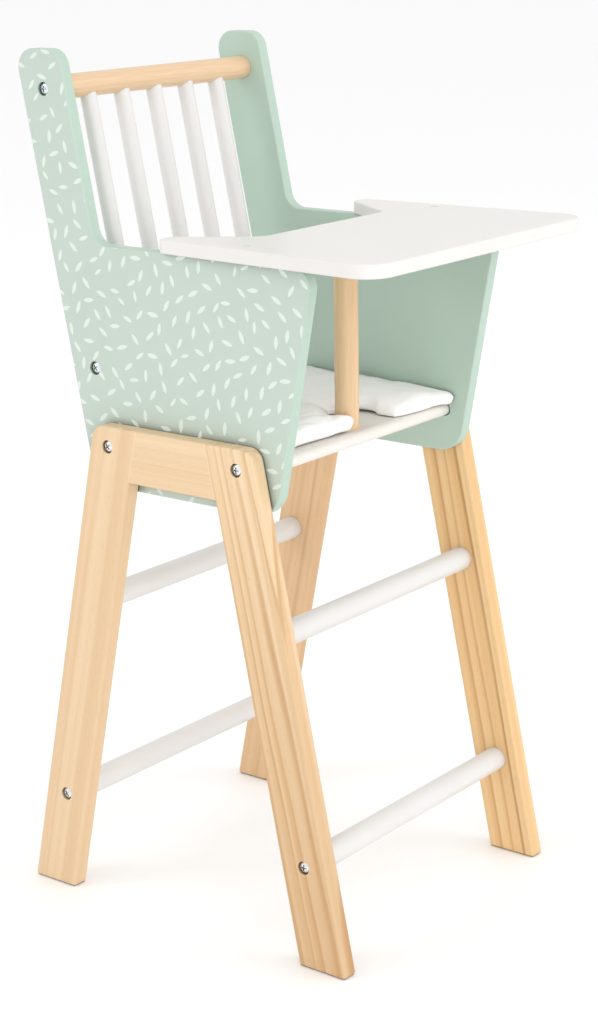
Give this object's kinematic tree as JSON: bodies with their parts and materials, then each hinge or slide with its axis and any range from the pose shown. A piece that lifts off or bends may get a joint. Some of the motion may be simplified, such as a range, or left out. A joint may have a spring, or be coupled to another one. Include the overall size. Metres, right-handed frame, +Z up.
{
  "type": "doll high chair",
  "caption": "Wooden doll's high chair: painted side panels, barred back, fixed play tray on a post, loose seat cushion, and splayed leg frames joined by rungs.",
  "frame": {"origin": "on the floor, under the middle of the whole chair's box", "axes": "+Z is up, -Y is the front, where the tray is, and +X is the sitter's left"},
  "size_m": [0.2424, 0.2948, 0.57],
  "materials": {
    "mint_paint": "satin paint, pale sage green, with small pale printed flecks on the outer faces",
    "white_paint": "satin white paint over solid wood and board",
    "natural_beech": "clear matt lacquer over round beech bar",
    "pine": "clear matt lacquer over planed pine with long grain",
    "zinc_screw": "bright zinc plate",
    "cushion_fabric": "plain white woven cotton"
  },
  "bodies": {
    "chair": {"side_panel_right": "mint_paint", "side_panel_left": "mint_paint", "seat_board": "white_paint", "top_rail": "natural_beech", "lower_back_rail": "natural_beech", "back_spindle_1": "white_paint", "back_spindle_2": "white_paint", "back_spindle_3": "white_paint", "back_spindle_4": "white_paint", "back_spindle_5": "white_paint", "tray_board": "white_paint", "tray_post": "natural_beech", "tray_pegs": "white_paint", "post_screw": "zinc_screw", "rear_leg_right": "pine", "rear_leg_left": "pine", "front_leg_right": "pine", "front_leg_left": "pine", "cross_rail_right": "pine", "cross_rail_left": "pine", "frame_dowels_right": "natural_beech", "frame_dowels_left": "natural_beech", "front_upper_rung": "white_paint", "front_lower_rung": "white_paint", "rear_upper_rung": "white_paint", "rear_lower_rung": "white_paint", "back_rail_screws": "zinc_screw", "leg_frame_screws": "zinc_screw", "lower_rung_screws": "zinc_screw"},
    "cushion": {"seat_cushion": "cushion_fabric"}
  },
  "joints": [
    {"name": "cushion_slide", "type": "slide", "parent": "chair", "child": "cushion", "axis": [0, 1, 0], "range_m": [0, 0.17]}
  ]
}
